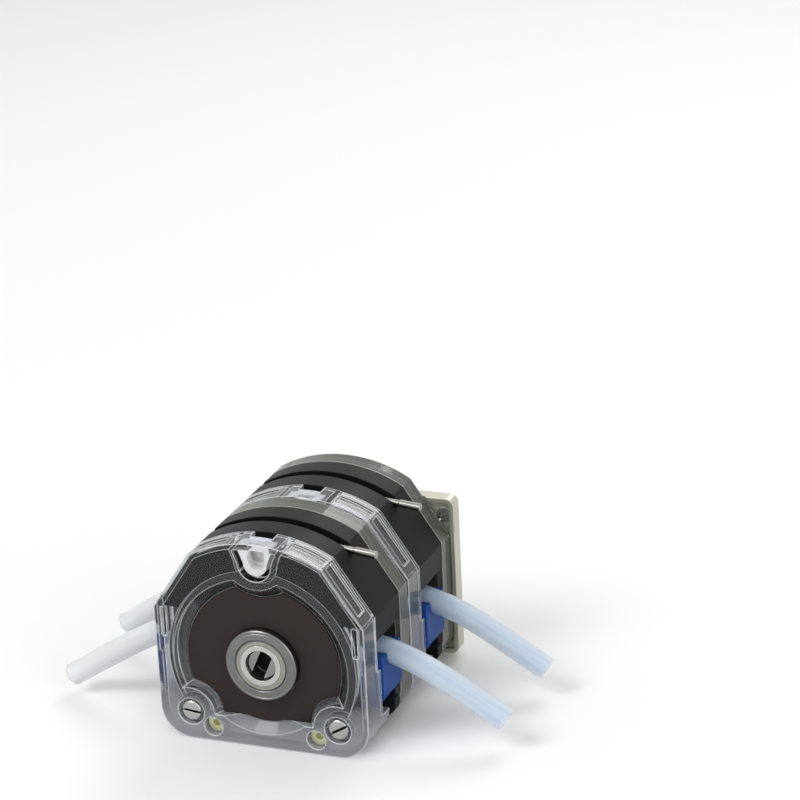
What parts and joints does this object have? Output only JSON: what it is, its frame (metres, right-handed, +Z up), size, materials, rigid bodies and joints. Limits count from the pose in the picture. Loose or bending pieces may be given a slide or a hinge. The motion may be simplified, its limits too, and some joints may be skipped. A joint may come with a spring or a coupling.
{
  "type": "peristaltic pump head",
  "caption": "Stacked peristaltic pump heads with clear covers, roller rotors, cam levers that lift the occlusion beds, and silicone tubes passing through.",
  "frame": {"origin": "on the rotor axis, in the back face of the adapter plate, where the shaft's rear tang leaves it", "axes": "+Y out of the plate's back along the rotor shaft, away from the front cover; +Z up; +X to the right seen from the front"},
  "size_m": [0.2258, 0.128, 0.1012],
  "materials": {
    "clear_front": "clear moulded polycarbonate with polished faces and bright edges",
    "clear_rear": "clear moulded polycarbonate that takes an olive tint from what lies behind it",
    "face_brown": "dark brown satin sheet behind the clear dish",
    "body_black": "black moulded plastic, satin",
    "bushing_white": "off-white moulded plastic, satin",
    "steel": "turned stainless steel, satin",
    "race_steel": "ground bearing steel, bright",
    "seal_cream": "cream bearing seals",
    "roller_steel": "ground stainless steel, bright",
    "zinc_yellow": "steel with a pale yellow zinc passivation",
    "retainer_blue": "deep blue moulded plastic, satin",
    "tube_silicone": "translucent bluish-white silicone rubber, slightly tacky",
    "plate_olive": "steel plate, olive-grey coat"
  },
  "bodies": {
    "housing": {"front_cover_1": "clear_front", "face_plate_1": "face_brown", "rear_cover_1": "clear_rear", "front_frame_1": "body_black", "rear_frame_1": "body_black", "cam_bushing_1": "bushing_white", "lower_block_1": "body_black", "bearing_outers_1": "race_steel", "bearing_seals_1": "seal_cream", "bearing_balls_1": "race_steel", "cover_screws_1": "steel", "tube_inner_1": "tube_silicone", "tube_right_1": "tube_silicone", "tube_left_1": "tube_silicone", "front_cover_2": "clear_front", "face_plate_2": "face_brown", "rear_cover_2": "clear_rear", "front_frame_2": "body_black", "rear_frame_2": "body_black", "cam_bushing_2": "bushing_white", "lower_block_2": "body_black", "bearing_outers_2": "race_steel", "bearing_seals_2": "seal_cream", "bearing_balls_2": "race_steel", "cover_screws_2": "steel", "tube_inner_2": "tube_silicone", "tube_right_2": "tube_silicone", "tube_left_2": "tube_silicone", "mounting_plate": "plate_olive", "plate_screws": "steel", "mounting_bolts": "zinc_yellow"},
    "rotor_1": {"rotor_shaft_1": "steel", "rotor_discs_1": "steel", "roller_pins_1": "steel", "bearing_inners_1": "race_steel"},
    "roller_a_1": {"roller_a_1": "roller_steel"},
    "roller_b_1": {"roller_b_1": "roller_steel"},
    "roller_c_1": {"roller_c_1": "roller_steel"},
    "bed_1": {"occlusion_bed_1": "body_black"},
    "lever_1": {"cam_shaft_1": "steel", "lever_rod_1": "steel"},
    "retainer_right_1_set": {"retainer_right_1": "retainer_blue", "tab_right_1": "body_black"},
    "retainer_left_1_set": {"retainer_left_1": "retainer_blue", "tab_left_1": "body_black"},
    "rotor_2": {"rotor_shaft_2": "steel", "rotor_discs_2": "steel", "roller_pins_2": "steel", "bearing_inners_2": "race_steel"},
    "roller_a_2": {"roller_a_2": "roller_steel"},
    "roller_b_2": {"roller_b_2": "roller_steel"},
    "roller_c_2": {"roller_c_2": "roller_steel"},
    "bed_2": {"occlusion_bed_2": "body_black"},
    "lever_2": {"cam_shaft_2": "steel", "lever_rod_2": "steel"},
    "retainer_right_2_set": {"retainer_right_2": "retainer_blue", "tab_right_2": "body_black"},
    "retainer_left_2_set": {"retainer_left_2": "retainer_blue", "tab_left_2": "body_black"}
  },
  "joints": [
    {"name": "rotor_spin_1", "type": "hinge", "parent": "housing", "child": "rotor_1", "pos_m": [0, -0.09, 0], "axis": [0, 1, 0], "continuous": true},
    {"name": "roller_a_spin_1", "type": "hinge", "parent": "rotor_1", "child": "roller_a_1", "pos_m": [0, -0.09, 0.0202], "axis": [0, 1, 0], "continuous": true},
    {"name": "roller_b_spin_1", "type": "hinge", "parent": "rotor_1", "child": "roller_b_1", "pos_m": [-0.01749, -0.09, -0.0101], "axis": [0, 1, 0], "continuous": true},
    {"name": "roller_c_spin_1", "type": "hinge", "parent": "rotor_1", "child": "roller_c_1", "pos_m": [0.01749, -0.09, -0.0101], "axis": [0, 1, 0], "continuous": true},
    {"name": "bed_lift_1", "type": "slide", "parent": "housing", "child": "bed_1", "axis": [0, 0, 1], "range_m": [0, 0.01]},
    {"name": "lever_turn_1", "type": "hinge", "parent": "housing", "child": "lever_1", "pos_m": [0, -0.09, 0.0528], "axis": [0, -1, 0], "range_deg": [0, 180]},
    {"name": "retainer_right_slide_1", "type": "slide", "parent": "housing", "child": "retainer_right_1_set", "axis": [0, 0, 1], "range_m": [-0.004, 0]},
    {"name": "retainer_left_slide_1", "type": "slide", "parent": "housing", "child": "retainer_left_1_set", "axis": [0, 0, 1], "range_m": [-0.004, 0]},
    {"name": "rotor_spin_2", "type": "hinge", "parent": "housing", "child": "rotor_2", "pos_m": [0, -0.033, 0], "axis": [0, 1, 0], "continuous": true},
    {"name": "roller_a_spin_2", "type": "hinge", "parent": "rotor_2", "child": "roller_a_2", "pos_m": [0, -0.033, 0.0202], "axis": [0, 1, 0], "continuous": true},
    {"name": "roller_b_spin_2", "type": "hinge", "parent": "rotor_2", "child": "roller_b_2", "pos_m": [-0.01749, -0.033, -0.0101], "axis": [0, 1, 0], "continuous": true},
    {"name": "roller_c_spin_2", "type": "hinge", "parent": "rotor_2", "child": "roller_c_2", "pos_m": [0.01749, -0.033, -0.0101], "axis": [0, 1, 0], "continuous": true},
    {"name": "bed_lift_2", "type": "slide", "parent": "housing", "child": "bed_2", "axis": [0, 0, 1], "range_m": [0, 0.01]},
    {"name": "lever_turn_2", "type": "hinge", "parent": "housing", "child": "lever_2", "pos_m": [0, -0.033, 0.0528], "axis": [0, -1, 0], "range_deg": [0, 180]},
    {"name": "retainer_right_slide_2", "type": "slide", "parent": "housing", "child": "retainer_right_2_set", "axis": [0, 0, 1], "range_m": [-0.004, 0]},
    {"name": "retainer_left_slide_2", "type": "slide", "parent": "housing", "child": "retainer_left_2_set", "axis": [0, 0, 1], "range_m": [-0.004, 0]}
  ],
  "couplings": [
    {"joint": "roller_a_spin_1", "follows": "rotor_spin_1", "ratio": -3.3765},
    {"joint": "roller_b_spin_1", "follows": "rotor_spin_1", "ratio": -3.3765},
    {"joint": "roller_c_spin_1", "follows": "rotor_spin_1", "ratio": -3.3765},
    {"joint": "lever_turn_1", "follows": "bed_lift_1", "rad_per_m": 314.16},
    {"joint": "rotor_spin_2", "follows": "rotor_spin_1", "ratio": 1},
    {"joint": "roller_a_spin_2", "follows": "rotor_spin_1", "ratio": -3.3765},
    {"joint": "roller_b_spin_2", "follows": "rotor_spin_1", "ratio": -3.3765},
    {"joint": "roller_c_spin_2", "follows": "rotor_spin_1", "ratio": -3.3765},
    {"joint": "lever_turn_2", "follows": "bed_lift_2", "rad_per_m": 314.16}
  ]
}
